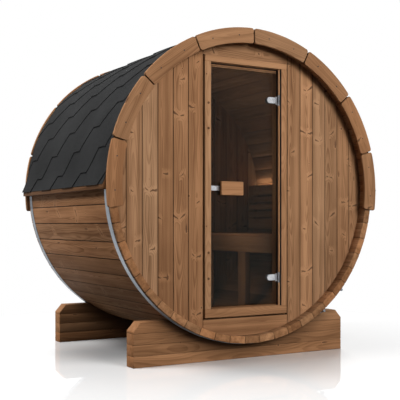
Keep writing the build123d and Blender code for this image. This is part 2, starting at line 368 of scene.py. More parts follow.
def noise(tree, vector, scale=1.0, detail=2.0, roughness=0.5, output="Fac"):
    made = put(tree, "ShaderNodeTexNoise", {"Vector": vector, "Scale": scale, "Detail": detail,
                                            "Roughness": roughness})
    return made.outputs[output]


def mixed(tree, share, first, second, way="MIX"):
    made = put(tree, "ShaderNodeMix", {0: share, 6: first, 7: second},
               data_type="RGBA", blend_type=way)
    return made.outputs[2]


def place_on(tree):
    return put(tree, "ShaderNodeTexCoord").outputs["Object"]


def new_group(name, inputs, outputs):
    group = bpy.data.node_groups.new(name, "ShaderNodeTree")
    for label, kind in inputs.items():
        group.interface.new_socket(label, in_out="INPUT", socket_type=kind)
    for label, kind in outputs.items():
        group.interface.new_socket(label, in_out="OUTPUT", socket_type=kind)
    given = group.nodes.new("NodeGroupInput").outputs
    return group, given, group.nodes.new("NodeGroupOutput").inputs


def whorl_knots(tree, grain, spikes):
    """Spike knots that lean away from the pith and thicken towards the board's edge."""
    whorl_gap = 0.30
    whorl_low, whorl_play = 0.30, 0.40
    ripple_depth = 0.020
    arm_root, arm_flare = 0.0012, 0.17
    shortest, longer = 0.020, 0.034
    halo_half, halo_core = 0.042, 0.004
    along, across = axes_in(tree, grain)[:2]
    step = figure_of(tree, "DIVIDE", along, whorl_gap)
    whorl = figure_of(tree, "FLOOR", step)
    chance = put(tree, "ShaderNodeTexWhiteNoise", {"W": whorl}, noise_dimensions="1D")
    level = line(tree, chance.outputs["Value"], whorl_play, whorl_low)
    up = figure_of(tree, "SUBTRACT", figure_of(tree, "SUBTRACT", step, whorl), level)
    ripple = noise(tree, stretch(tree, grain, (45, 45, 45)), detail=3)
    up = plus(tree, times(tree, up, whorl_gap), line(tree, ripple, ripple_depth, -ripple_depth / 2))
    off = figure_of(tree, "ABSOLUTE", across)
    side = figure_of(tree, "SIGN", across)
    arm = put(tree, "ShaderNodeTexWhiteNoise",
              {"Vector": put(tree, "ShaderNodeCombineXYZ", {0: whorl, 1: side}).outputs[0]},
              noise_dimensions="2D")
    there_draw, lean_draw, reach_draw = draws_in(tree, arm.outputs["Color"])[:3]
    there = figure_of(tree, "LESS_THAN", there_draw, spikes)
    lean = line(tree, lean_draw, 1.0, -0.1)
    from_arm = figure_of(tree, "ABSOLUTE", figure_of(tree, "SUBTRACT", up, times(tree, off, lean)))
    arm_half = line(tree, off, arm_flare, arm_root)
    reach_share = figure_of(tree, "DIVIDE", off, line(tree, reach_draw, longer, shortest))
    in_arm = fade(tree, figure_of(tree, "DIVIDE", from_arm, arm_half), 1.25, 0.55)
    in_reach = times(tree, fade(tree, off, 0.001, 0.010), fade(tree, reach_share, 1.15, 0.90))
    spike = times(tree, times(tree, in_arm, in_reach), there)
    halo = times(tree, fade(tree, from_arm, halo_half, halo_core), fade(tree, reach_share, 1.9, 0.9))
    return spike, times(tree, halo, there)


def pin_knots(tree, grain, pins):
    """Small round knots between the whorls, some with a tail of resin."""
    cell_long, cell_wide = 0.34, 0.10
    smallest, larger = 0.0020, 0.0048
    tail_share = 0.55
    cell = stretch(tree, grain, (1 / cell_long, 1 / cell_wide, 0))
    cells = put(tree, "ShaderNodeTexVoronoi", {"Vector": cell, "Scale": 1.0, "Randomness": 0.6},
                voronoi_dimensions="2D", feature="F1")
    away = put(tree, "ShaderNodeVectorMath", {0: cell, 1: cells.outputs["Position"]},
               operation="SUBTRACT").outputs["Vector"]
    away = stretch(tree, away, (cell_long, cell_wide, 0))
    along, across = axes_in(tree, away)[:2]
    shown_draw, size_draw, tail_draw = draws_in(tree, cells.outputs["Color"])[:3]
    tail = times(tree, figure_of(tree, "GREATER_THAN", along, 0.0),
                 figure_of(tree, "GREATER_THAN", tail_draw, tail_share))
    squeezed = times(tree, along, line(tree, tail, -0.68, 0.80))
    drop = put(tree, "ShaderNodeCombineXYZ", {0: squeezed, 1: across}).outputs[0]
    size = line(tree, size_draw, larger, smallest)
    shown = figure_of(tree, "LESS_THAN", shown_draw, pins)
    pin = fade(tree, figure_of(tree, "DIVIDE", length_of(tree, drop), size), 1.25, 0.65)
    halo = fade(tree, figure_of(tree, "DIVIDE", length_of(tree, away), size), 3.2, 0.8)
    return times(tree, pin, shown), times(tree, halo, shown)


def growth_rings(tree, grain, halo):
    """Dark late wood of rings round a pith that wanders along the board and bends round knots."""
    ring_gap = 0.0058
    side_drift, deep_drift = 0.09, 0.06
    knot_push, waver_depth = 0.008, 0.004
    across, through = axes_in(tree, grain)[1:3]
    drift = noise(tree, stretch(tree, grain, (1.6, 2.0, 2.0)), detail=1.0, output="Color")
    side_draw, deep_draw = draws_in(tree, drift)[:2]
    side_way = plus(tree, across, line(tree, side_draw, side_drift, -side_drift / 2))
    deep_way = plus(tree, through, line(tree, deep_draw, deep_drift, -deep_drift / 2))
    from_pith = figure_of(tree, "SQRT", plus(tree, figure_of(tree, "POWER", side_way, 2.0),
                                             figure_of(tree, "POWER", deep_way, 2.0)))
    from_pith = plus(tree, from_pith, times(tree, halo, knot_push))
    waver = noise(tree, stretch(tree, grain, (3.0, 40, 40)))
    from_pith = plus(tree, from_pith, times(tree, waver, waver_depth))
    ring = figure_of(tree, "FRACT", figure_of(tree, "DIVIDE", from_pith, ring_gap))
    return times(tree, fade(tree, ring, 0.25, 0.88), fade(tree, ring, 1.0, 0.9))


def wood_group():
    """Growth rings, fibres and whorls of knots on each board's own grain."""
    tree, given, result = new_group(
        "timber",
        {"Grain": VECTOR, "Tint": VALUE, "End": VALUE, "JointShade": VALUE, "Pale": COLOUR,
         "Deep": COLOUR, "Knot": COLOUR, "Spread": VALUE, "Spikes": VALUE, "Pins": VALUE},
        {"Color": COLOUR, "Roughness": VALUE, "Height": VALUE})
    grain = given["Grain"]
    spike, spike_halo = whorl_knots(tree, grain, given["Spikes"])
    pin, pin_halo = pin_knots(tree, grain, given["Pins"])
    knot = figure_of(tree, "MAXIMUM", spike, pin)
    halo = figure_of(tree, "MAXIMUM", spike_halo, pin_halo)
    late = growth_rings(tree, grain, halo)
    streak = noise(tree, stretch(tree, grain, (0.7, 30, 30)), detail=3, roughness=0.6)
    fibre = noise(tree, stretch(tree, grain, (7, 340, 340)))
    cloud = noise(tree, stretch(tree, grain, (2.2, 6, 6)))

    # How far each spot goes from the pale towards the deep colour
    depth = plus(tree, times(tree, late, 0.42), line(tree, streak, 1.9, -0.70))
    depth = plus(tree, depth, line(tree, fibre, 0.46, -0.23))
    depth = plus(tree, depth, line(tree, cloud, 0.9, -0.45))
    depth = figure_of(tree, "SUBTRACT", depth, times(tree, halo, 0.42))
    depth = figure_of(tree, "MULTIPLY", depth, given["Spread"], clamp=True)

    # Each board's own warmth and shade, then end grain, knots and painted shade in the joints
    cool_tone, warm_tone = (1.03, 1.04, 1.05, 1), (0.99, 0.88, 0.79, 1)
    end_tone, joint_shade_brown = (0.98, 0.93, 0.87, 1), (0.016, 0.009, 0.006, 1)
    colour = mixed(tree, depth, given["Pale"], given["Deep"])
    warmth = figure_of(tree, "FRACT", times(tree, given["Tint"], 7.31))
    colour = mixed(tree, 1.0, colour, mixed(tree, warmth, cool_tone, warm_tone), "MULTIPLY")
    colour = mixed(tree, 1.0, colour, fade(tree, given["Tint"], 0, 1, 0.78, 1.15), "MULTIPLY")
    colour = mixed(tree, given["End"], colour, mixed(tree, 1.0, colour, end_tone, "MULTIPLY"))
    flat = figure_of(tree, "SUBTRACT", 1.0, given["End"])
    colour = mixed(tree, times(tree, times(tree, knot, 0.86), flat), colour, given["Knot"])
    # Painted shade: faces in the joints go towards a near-black brown
    colour = mixed(tree, given["JointShade"], colour, joint_shade_brown)

    feed(tree, colour, result["Color"])
    feed(tree, line(tree, depth, 0.14, 0.66), result["Roughness"])
    height = figure_of(tree, "SUBTRACT", 1.0, times(tree, depth, 0.7))
    feed(tree, figure_of(tree, "SUBTRACT", height, times(tree, knot, 0.25)), result["Height"])
    return tree


def mottle_group():
    """Soft uneven patches and fine specks, for metal, glass and bitumen."""
    tree, given, result = new_group("mottle", {"Patch": VALUE, "Speck": VALUE},
                                    {"Patch": VALUE, "Speck": VALUE})
    place = place_on(tree)
    feed(tree, noise(tree, place, given["Patch"], 3.0, 0.6), result["Patch"])
    feed(tree, noise(tree, place, given["Speck"], 1.0, 0.5), result["Speck"])
    return tree


TIMBER = wood_group()
MOTTLE = mottle_group()


# Finishes

KNOT_BROWN = (0.085, 0.040, 0.021, 1)
# How far out from the barrel the painted shade on the cradles reaches
BELLY_SHADE_REACH = 0.17


def new_material(name):
    material = bpy.data.materials.new(name)
    material.use_nodes = True
    tree = material.node_tree
    return material, tree, tree.nodes["Principled BSDF"]


def bump(tree, height, strength, distance, shader):
    made = put(tree, "ShaderNodeBump", {"Height": height, "Strength": strength, "Distance": distance})
    tree.links.new(made.outputs[0], shader.inputs["Normal"])


def mottle_in(tree, patch, speck):
    """Places the mottle in a material, with its own count of patches and specks to the metre."""
    return put(tree, "ShaderNodeGroup", {"Patch": patch, "Speck": speck}, node_tree=MOTTLE).outputs


def wood(name, pale, deep, spread=1.0, spikes=0.0, pins=0.0, belly_shade=1.0):
    """Boards of one timber. Below 1, the last argument darkens them close under the barrel: painted shade
    of the barrel on the cradles.
    """
    material, tree, shader = new_material(name)
    timber = put(tree, "ShaderNodeGroup", node_tree=TIMBER)
    reads = {"Grain": ("grain", "Vector"), "Tint": ("tint", "Fac"), "End": ("end_grain", "Fac"),
             "JointShade": ("joint_shade_paint", "Fac")}
    for socket, (attribute, output) in reads.items():
        source = put(tree, "ShaderNodeAttribute", attribute_name=attribute)
        tree.links.new(source.outputs[output], timber.inputs[socket])
    values = {"Pale": (*pale, 1), "Deep": (*deep, 1), "Knot": KNOT_BROWN, "Spread": spread,
              "Spikes": spikes, "Pins": pins}
    for socket, value in values.items():
        timber.inputs[socket].default_value = value
    colour = timber.outputs["Color"]
    # Painted shade: darker the nearer the wood comes to the barrel above it
    if belly_shade < 1.0:
        place = stretch(tree, place_on(tree), (1, 0, 1))
        off_axis = put(tree, "ShaderNodeVectorMath", {0: place, 1: (0, 0, AXIS_Z)},
                       operation="DISTANCE").outputs["Value"]
        belly_shade_share = fade(tree, off_axis, HOOP_R, HOOP_R + BELLY_SHADE_REACH, belly_shade, 1.0)
        colour = mixed(tree, 1.0, colour, belly_shade_share, "MULTIPLY")
    tree.links.new(colour, shader.inputs["Base Color"])
    tree.links.new(timber.outputs["Roughness"], shader.inputs["Roughness"])
    shader.inputs["Specular IOR Level"].default_value = 0.08
    bump(tree, timber.outputs["Height"], 0.35, 0.0006, shader)
    return material


def metal(name, pale, deep, metallic, rough, patch=14.0, speck=260.0):
    material, tree, shader = new_material(name)
    mottle = mottle_in(tree, patch, speck)
    patches = fade(tree, mottle["Patch"], 0.3, 0.7)
    tree.links.new(mixed(tree, patches, (*deep, 1), (*pale, 1)), shader.inputs["Base Color"])
    shader.inputs["Metallic"].default_value = metallic
    tree.links.new(fade(tree, mottle["Speck"], 0.2, 0.8, rough - 0.08, rough + 0.08),
                   shader.inputs["Roughness"])
    bump(tree, mottle["Speck"], 0.08, 0.0004, shader)
    return material


def shingle_face():
    """Dark slate granules with paler flecks."""
    material, tree, shader = new_material("shingle_granules")
    mottle = mottle_in(tree, 3.2, 420.0)
    base = mixed(tree, fade(tree, mottle["Patch"], 0.3, 0.7),
                 (0.0140, 0.0142, 0.0144, 1), (0.0205, 0.0207, 0.0210, 1))
    flecks = fade(tree, mottle["Speck"], 0.45, 0.72)
    tree.links.new(mixed(tree, flecks, base, (0.036, 0.0364, 0.037, 1)), shader.inputs["Base Color"])
    shader.inputs["Roughness"].default_value = 0.92
    shader.inputs["Specular IOR Level"].default_value = 0.05
    bump(tree, mottle["Speck"], 0.6, 0.0012, shader)
    return material


def plain(name, colour, rough):
    """Rubber, bitumen and other dull black stuff."""
    material, tree, shader = new_material(name)
    mottle = mottle_in(tree, 30.0, 500.0)
    darker = tuple(0.6 * part for part in colour)
    tree.links.new(mixed(tree, mottle["Patch"], (*darker, 1), (*colour, 1)),
                   shader.inputs["Base Color"])
    shader.inputs["Roughness"].default_value = rough
    bump(tree, mottle["Speck"], 0.2, 0.0003, shader)
    return material


def tinted_glass():
    material, tree, shader = new_material("door_glass_bronze")
    mottle = mottle_in(tree, 2.5, 90.0)
    tree.links.new(mixed(tree, mottle["Patch"], (0.005, 0.0072, 0.0064, 1),
                         (0.008, 0.0105, 0.0090, 1)), shader.inputs["Base Color"])
    tree.links.new(fade(tree, mottle["Patch"], 0.3, 0.7, 0.015, 0.030), shader.inputs["Roughness"])
    shader.inputs["IOR"].default_value = 1.5
    shader.inputs["Specular IOR Level"].default_value = 0.12
    shader.inputs["Alpha"].default_value = 0.44
    return material


def glow(name, colour, strength):
    material, tree, shader = new_material(name)
    mottle = mottle_in(tree, 8.0, 200.0)
    paler = tuple(min(1.0, 1.1 * part) for part in colour)
    tree.links.new(mixed(tree, mottle["Patch"], (*colour, 1), (*paler, 1)),
                   shader.inputs["Emission Color"])
    shader.inputs["Base Color"].default_value = (*colour, 1)
    shader.inputs["Emission Strength"].default_value = strength
    return material


STAVE_WOOD = wood("stave_wood", (0.385, 0.210, 0.109), (0.170, 0.083, 0.040),
                  spread=1.1, spikes=0.30, pins=0.45)
WALL_WOOD = wood("wall_wood", (0.420, 0.238, 0.128), (0.195, 0.100, 0.050),
                 spread=1.1, spikes=0.62, pins=0.35)
ARC_WOOD = wood("arc_wood", (0.372, 0.202, 0.104), (0.207, 0.104, 0.051), spikes=0.12, pins=0.25)
DOOR_WOOD = wood("door_frame_wood", (0.410, 0.222, 0.114), (0.245, 0.126, 0.061))
# The cradles get painted shade where they sit close under the barrel
CRADLE_WOOD = wood("cradle_wood", (0.365, 0.195, 0.099), (0.180, 0.090, 0.043),
                   spread=0.9, pins=0.95, belly_shade=0.36)
# A paler copy of the frame's wood: painted light on the hinge bead, which sits back in the frame's shade
BEAD_WOOD_PAINTED_LIGHT = wood("bead_wood_painted_light", (0.53, 0.292, 0.152), (0.37, 0.196, 0.098), spread=0.9)
PLUG_WOOD = wood("plug_wood", (0.120, 0.060, 0.030), (0.060, 0.029, 0.014))
BENCH_WOOD = wood("bench_wood", (0.36, 0.200, 0.105), (0.20, 0.102, 0.050),
                  spread=0.9, spikes=0.2, pins=0.3)
HANDLE_WOOD = wood("handle_wood", (0.44, 0.242, 0.127), (0.29, 0.153, 0.077), spread=0.9)
EAVE_WOOD = wood("eave_wood", (0.115, 0.056, 0.027), (0.055, 0.026, 0.012), pins=0.3)
SHINGLE = shingle_face()
SHINGLE_CUT = plain("shingle_cut_edge", (0.006, 0.006, 0.006), 0.85)
HOOP_STEEL = metal("hoop_galvanised", (0.30, 0.325, 0.355), (0.20, 0.22, 0.245), 0.8, 0.46)
FITTING_STEEL = metal("fitting_satin", (0.58, 0.59, 0.61), (0.44, 0.45, 0.47), 0.70, 0.30,
                      patch=34, speck=380)
BOLT_STEEL = metal("bolt_black", (0.035, 0.037, 0.040), (0.018, 0.019, 0.021), 0.6, 0.45)
SEAL_RUBBER = plain("seal_rubber", (0.015, 0.011, 0.009), 0.7)
GLASS = tinted_glass()
STRIP_GLOW = glow("light_strip", (1.0, 0.66, 0.36), 5.0)


# Barrel, end walls, door frame, cradles and bench boards

STAVE_EDGE = 0.0035
WALL_EDGE = 0.0045
ARC_EDGE = 0.0035
EAVE_EDGE = 0.002
FRAME_EDGE = 0.0016
CRADLE_EDGE = 0.0025
BENCH_EDGE = 0.0025

# How far the boards of a panel differ in shade, and how pale they are
WALL_TONES = {"front_wall_left": (1.0, 0.50), "front_wall_right": (0.8, 0.28),
              "rear_wall_left": (1.0, 0.50), "rear_wall_middle": (1.0, 0.50),
              # The header's dark tone is painted shade from the arcs and staves above it; the apron gets
              # the same dark tone
              "rear_wall_right": (1.0, 0.50), "front_wall_header": (0.1, 0.22),
              "front_wall_apron": (0.1, 0.22)}
FRAME_TONES = {"jamb_left": 0.40, "jamb_right": 0.55, "door_head": 0.45, "door_sill": 0.20,
               "door_stops": 0.50}

# Staves, walls, arcs and cradles get painted shade in their board joints
for run in ("top", "right_high", "right_low", "bottom", "left_low", "left_high"):
    boards("staves_" + run, "wood_stave", STAVE_WOOD, STAVE_EDGE, "stave", joint_shade=0.85)
for panel, (mix, tone) in WALL_TONES.items():
    boards(panel, "wood_wall", WALL_WOOD, WALL_EDGE, joint_shade=0.8, mix=mix, tone=tone)
for arc in ("front_arc_left", "front_arc_right", "rear_arc_left", "rear_arc_right"):
    boards(arc, "wood_trim", ARC_WOOD, ARC_EDGE, "arc", joint_shade=0.6, mix=0.15, tone=0.40)
for eave in ("eave_left", "eave_right"):
    boards(eave, "wood_trim", EAVE_WOOD, EAVE_EDGE)
for member, tone in FRAME_TONES.items():
    boards(member, "wood_frame", DOOR_WOOD, FRAME_EDGE, tone=tone)
for cradle in ("cradle_front", "cradle_rear"):
    boards(cradle, "wood_cradle", CRADLE_WOOD, CRADLE_EDGE, "layer", joint_shade=0.45, mix=0.3)
for member in ("bench_seat", "bench_fascia", "bench_bearers", "bench_legs", "backrest_slats",
               "backrest_uprights"):
    boards(member, "wood_bench", BENCH_WOOD, BENCH_EDGE)


# Shingle roof, cut flat and then laid round the barrel: x along the roof, y up its slope, z out of it

DECK_LIFT = 0.0035
DECK_R = STAVE_R + DECK_LIFT
END_GAP = 0.0006
ROOF_END = HALF_LEN - END_GAP
RIDGE = DECK_R * math.pi / 2
COURSE = 0.146
COURSE_STEPS = 4
FIRST_COURSE = 0.085
TOP_COURSE = 9
COURSE_SHIFT = -0.2205
FIRST_TAB = 0.300
TAB_PITCH = 0.412
TAB_FOOT = 0.105
TAB_FRONT_SLOPE = 0.1155
TAB_BACK_SLOPE = 0.0865
SHINGLE_T = 0.005
FOOT_LIFT = 0.009
STARTER_STEPS = 8
LIP_INSET = 0.010
FLARE_RUN = 0.16
FLARE_OUT = ROOF_EDGE - DECK_R - LIP_INSET
CAP_T = 0.0025
CAP_SHOW = 0.164
CAP_LONG = 1.5 * CAP_SHOW
CAP_HALF = 0.15
CAP_STEPS = 8
CAP_LIFT = 1.1 * CAP_T
LAST_CAP = 0.01
TOP_FACING = 0.5


def trim(piece, point, outward):
    """Cuts a flat sheet of shingles off square, and closes the cut."""
    open_edit(piece)
    bpy.ops.mesh.bisect(plane_co=point, plane_no=outward, use_fill=True, clear_outer=True)
    close_edit()


def thicken(piece, thickness):
    apply_modifier(piece, "SOLIDIFY", thickness=thickness, offset=1)


def flat_sheet(name, front, back, foot, head, steps):
    """A thin flat plate, lying along the roof and up its slope, cut into steps up the slope."""
    deselect()
    bpy.ops.mesh.primitive_plane_add(size=1, location=((front + back) / 2, (foot + head) / 2, 0))
    bpy.context.object.scale = (back - front, head - foot, 1)
    piece = rest_in_mesh()
    piece.name = piece.data.name = name
    for step in range(1, steps):
        open_edit(piece)
        bpy.ops.mesh.bisect(plane_co=(0, foot + (head - foot) * step / steps, 0), plane_no=(0, 1, 0))
        close_edit()
    return piece


def tab_sheet():
    """One hexagonal tab, narrow at its foot."""
    piece = flat_sheet("tab", 0, TAB_FOOT, 0, COURSE, 1)
    pick_points(piece, lambda co: co.y > COURSE / 2 and co.x < TAB_FOOT / 2)
    bpy.ops.transform.translate(value=(-TAB_FRONT_SLOPE, 0, 0))
    close_edit()
    pick_points(piece, lambda co: co.y > COURSE / 2 and co.x > TAB_FOOT / 2)
    bpy.ops.transform.translate(value=(TAB_BACK_SLOPE, 0, 0))
    bpy.ops.mesh.select_all(action="SELECT")
    for step in range(1, COURSE_STEPS):
        bpy.ops.mesh.bisect(plane_co=(0, COURSE * step / COURSE_STEPS, 0), plane_no=(0, 1, 0))
        bpy.ops.mesh.select_all(action="SELECT")
    close_edit()
    thicken(piece, SHINGLE_T)
    return piece


def foot_lift(climb):
    """How far a shingle stands out at a height above its foot: it rests on the course below."""
    return FOOT_LIFT * (1 - climb / (2 * COURSE))


def course(number, tab):
    """One course of shingles, flat: tabs below and a full band above them."""
    foot = FIRST_COURSE + COURSE * number
    start = (FIRST_TAB - HALF_LEN + COURSE_SHIFT * number) % TAB_PITCH
    start -= TAB_PITCH * math.ceil((start + HALF_LEN) / TAB_PITCH + 1)
    tabs = []
    while start < HALF_LEN + TAB_FRONT_SLOPE:
        if start + TAB_FOOT + TAB_BACK_SLOPE > -HALF_LEN:
            tabs.append(copy_at(tab, (start, foot, 0)))
        start += TAB_PITCH
    tabs = join("tabs", tabs)
    trim(tabs, (-ROOF_END, 0, 0), (-1, 0, 0))
    trim(tabs, (ROOF_END, 0, 0), (1, 0, 0))
    band = flat_sheet("band", -ROOF_END, ROOF_END, foot + COURSE, foot + 2 * COURSE, COURSE_STEPS)
    thicken(band, SHINGLE_T)
    row = []
    for sheet in (tabs, band):
        if foot < 0:
            trim(sheet, (0, 0, 0), (0, -1, 0))
        if foot + 2 * COURSE > RIDGE:
            trim(sheet, (0, RIDGE, 0), (0, 1, 0))
        for point in sheet.data.vertices:
            point.co.z += foot_lift(point.co.y - foot)
        if sheet.data.vertices:
            row.append(sheet)
        else:
            bpy.data.objects.remove(sheet)
    return row


def face_shingles(piece):
    """Granules on the faces that look out, and bare bitumen on the cut edges and below."""
    piece.data.materials.clear()
    piece.data.materials.append(SHINGLE)
    piece.data.materials.append(SHINGLE_CUT)
    for face in piece.data.polygons:
        face.material_index = int(face.normal.z < TOP_FACING)


def wrap(mesh, side):
    """Lays flat shingles on the round roof, with the lifted lip at the eave."""
    for point in mesh.vertices:
        length, climb, height = point.co
        lip = FLARE_OUT * max(0.0, 1 - climb / FLARE_RUN) ** 2
        radius = DECK_R + lip + height
        turn = climb / DECK_R
        point.co = (side * radius * math.cos(turn), length, AXIS_Z + radius * math.sin(turn))


def shingle_side(name, node, side, tab):
    sheets = [flat_sheet("starter", -ROOF_END, ROOF_END, 0, FIRST_COURSE + COURSE, STARTER_STEPS)]
    thicken(sheets[0], SHINGLE_T)
    for number in range(-1, TOP_COURSE + 1):
        sheets += course(number, tab)
    roof = join(name, sheets)
    face_shingles(roof)
    wrap(roof.data, side)
    if side < 0:
        open_edit(roof)
        bpy.ops.mesh.flip_normals()
        close_edit()
    return fit_out(roof, "cabin", "shingle", None, node)


def ridge_caps():
    """Short caps bent over the ridge, each lapping the next towards the back."""
    top_foot = FIRST_COURSE + COURSE * TOP_COURSE
    caps = []
    front = -ROOF_END
    while front < ROOF_END - LAST_CAP:
        cap = flat_sheet("cap", front, min(front + CAP_LONG, ROOF_END), -CAP_HALF, CAP_HALF, CAP_STEPS)
        thicken(cap, CAP_T)
        for point in cap.data.vertices:
            lap = 1 - (point.co.x - front) / CAP_LONG
            climb = RIDGE - abs(point.co.y) - top_foot
            point.co.z += SHINGLE_T + foot_lift(climb) + CAP_LIFT * lap
        caps.append(cap)
        front += CAP_SHOW
    ridge = join("shingles_ridge", caps)
    face_shingles(ridge)
    for point in ridge.data.vertices:
        point.co.y += RIDGE
    wrap(ridge.data, 1)
    return fit_out(ridge, "cabin", "shingle", None)


tab_pattern = tab_sheet()
shingle_side("shingles_left", "roof_left", -1, tab_pattern)
shingle_side("shingles_right", "roof_right", 1, tab_pattern)
bpy.data.objects.remove(tab_pattern)
ridge_caps()


# Hoops with their locks; angles are degrees from the top of the barrel, seen from the door end

LUG_ANGLES = (132.0, 143.5)
REAR_LOCK_TURN = -14.0
LUG_W = 0.030
LUG_T = 0.014
LUG_H = 0.032
LUG_SINK = 0.001
LUG_EDGE = 0.002
ROD_LIFT = 0.016
ROD_R = 0.005
ROD_OVER = 0.030
ROD_SIDES = 20
LOCK_EDGE = 0.0006
STRAP_SIDES = 216
STRAP_EDGE = 0.0006
# Washer and nut: how far beyond the middle of the lug, radius, thickness and sides
LOCK_HEADS = ((0.0085, 0.011, 0.0025, 24), (0.0150, 0.0095, 0.010, 6))


def turned_place(angle, radius, y):
    turn = math.radians(angle)
    return Vector((radius * math.sin(turn), y, AXIS_Z + radius * math.cos(turn)))


def hoop(name, node, lock_turn):
    """A flat steel strap, with two lugs that a rod and its nuts pull together."""
    low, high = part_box(node)
    middle, width = (low.y + high.y) / 2, high.y - low.y
    deselect()
    bpy.ops.mesh.primitive_cylinder_add(vertices=STRAP_SIDES, radius=HOOP_R, depth=width,
                                        end_fill_type="NOTHING", location=(0, middle, AXIS_Z),
                                        rotation=(math.pi / 2, 0, 0))
    strap = rest_in_mesh()
    apply_modifier(strap, "SOLIDIFY", thickness=HOOP_T, offset=-1)
    soften(strap, STRAP_EDGE, 1, RIM_ANGLE)
    bright = [strap]
    for angle in LUG_ANGLES:
        lug = block("lug", (-LUG_T / 2, middle - LUG_W / 2, HOOP_R - LUG_SINK),
                    (LUG_T / 2, middle + LUG_W / 2, HOOP_R + LUG_H), LUG_EDGE)
        lug.data.transform(Matrix.Rotation(math.radians(angle + lock_turn), 4, "Y"))
        lug.data.transform(Matrix.Translation((0, 0, AXIS_Z)))
        bright.append(lug)
    half = math.radians((LUG_ANGLES[1] - LUG_ANGLES[0]) / 2)
    lock = sum(LUG_ANGLES) / 2 + lock_turn
    along = Vector((math.cos(math.radians(lock)), 0, -math.sin(math.radians(lock))))
    centre = turned_place(lock, (HOOP_R + ROD_LIFT) * math.cos(half), middle)
    reach = (HOOP_R + ROD_LIFT) * math.sin(half)
    bright.append(disc("rod", centre, ROD_R, 2 * (reach + ROD_OVER), along, ROD_SIDES, LOCK_EDGE))
    black = []
    for way in (-1, 1):
        for beyond, radius, depth, sides in LOCK_HEADS:
            place = centre + along * way * (reach + beyond)
            black.append(disc("nut", place, radius, depth, along, sides, LOCK_EDGE))
    fit_out(join(name, bright), "cabin", "steel_hoop", HOOP_STEEL, node)
    fit_out(join(name + "_nuts", black), "cabin", "black_screw", BOLT_STEEL)


hoop("hoop_band_front", "hoop_front", 0.0)
hoop("hoop_band_rear", "hoop_rear", REAR_LOCK_TURN)


# Screws that hold the arc boards

ARC_TURNS = (25.3, 24.8, 24.2, 23.7)
SCREW_SWING = 5.9
SCREW_RING_R = 0.9725
SCREW_R = 0.0042
SCREW_SIDES = 16
HEAD_T = 0.0016
HEAD_PROUD = 0.0002
HEAD_EDGE = 0.0004


def heads_at(places, radius, sides, way):
    """Low round heads on an upright face, modelled once and copied to their places."""
    head = disc("head", (0, 0, 0), radius, HEAD_T, (0, way, 0), sides, HEAD_EDGE)
    copies = [copy_at(head, place) for place in places]
    bpy.data.objects.remove(head)
    return copies


def arc_screws(name, node):
    low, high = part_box(node)
    way = -1 if low.y < 0 else 1
    face = low.y if low.y < 0 else high.y
    side = -1 if low.x + high.x < 0 else 1
    places = []
    joint = 0
    for turn in ARC_TURNS:
        for swing in (-SCREW_SWING, SCREW_SWING):
            angle = side * (joint + turn / 2 + swing)
            places.append(turned_place(angle, SCREW_RING_R, face + way * HEAD_PROUD))
        joint += turn
    screws = join(name, heads_at(places, SCREW_R, SCREW_SIDES, way))
    return fit_out(screws, "cabin", "black_screw", BOLT_STEEL)


for end in ("front", "rear"):
    for side in ("left", "right"):
        arc_screws(f"screws_{end}_{side}", f"{end}_arc_{side}")


# Glass door and its fittings

PANE_EDGE = 0.0015
CLAMP_EDGE = 0.0022
STEEL_EDGE = 0.0008
GRIP_EDGE = 0.0055
CATCH_EDGE = 0.002


def fitting(name, node, body, slot, material, edge, steps=2):
    """One solid of the door with its edges rounded."""
    piece = node_copy(name, node)
    soften(piece, edge, steps)
    return fit_out(piece, body, slot, material, node)


fitting("door_pane", "door_glass", "door", "door_glass", GLASS, PANE_EDGE)
fitting("hinge_clamp_plates", "hinge_clamps", "door", "steel_fitting", FITTING_STEEL, CLAMP_EDGE, 3)
wall_plates = fitting("hinge_wall_plates", "hinge_plates", "cabin", "steel_fitting", FITTING_STEEL,
                      STEEL_EDGE)
for side in ("outside", "inside"):
    grip = block("handle_grip_" + side, *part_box("handle_" + side), GRIP_EDGE, 4)
    lay_grain(grip, pith=HANDLE_PITH)
    fit_out(grip, "door", "wood_handle", HANDLE_WOOD, "handle_" + side)
fitting("handle_post_pins", "handle_posts", "door", "steel_fitting", FITTING_STEEL, STEEL_EDGE)
keeper = block("door_catch_plate", *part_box("door_catch"), CATCH_EDGE, 3)
fit_out(keeper, "door", "steel_fitting", FITTING_STEEL, "door_catch")


# Seals, beads and hinge covers round the glass

SEAL_HALF = 0.0022
SEAL_SET = 0.0020
SEAL_LAP = 0.0045
SEAL_EDGE = 0.001
BEAD_SET = 0.0165
BEAD_FRONT = JAMB_LOW.y + BEAD_SET
BEAD_DEPTH = 0.0110
BEAD_W = 0.0115
BEAD_SINK = 0.001
BEAD_EDGE = 0.0015
BEAD_MIX = 0.3
PLATE_GAP = 0.001
TOP_BEAD_DROP = 0.0004
TOP_BEAD_SHORT = 0.004
TOP_BEAD_SINK = 0.0002
TOP_BEAD_EDGE = 0.0004
# Upper and lower edge of each step, down from the top of the glass, and how far it stands out
TOP_BEAD_STEPS = ((0.0000, 0.0062, 0.0020), (0.0098, 0.0136, 0.0012))
COVER_T = 0.0026
COVER_EDGE = 0.0006
CLAMP_ROOM = 0.0225
# Outer and inner strip of a hinge cover, from the face of the jamb
COVER_OUTER = (0.0054, 0.0002)
COVER_INNER = (0.0112, 0.0056)


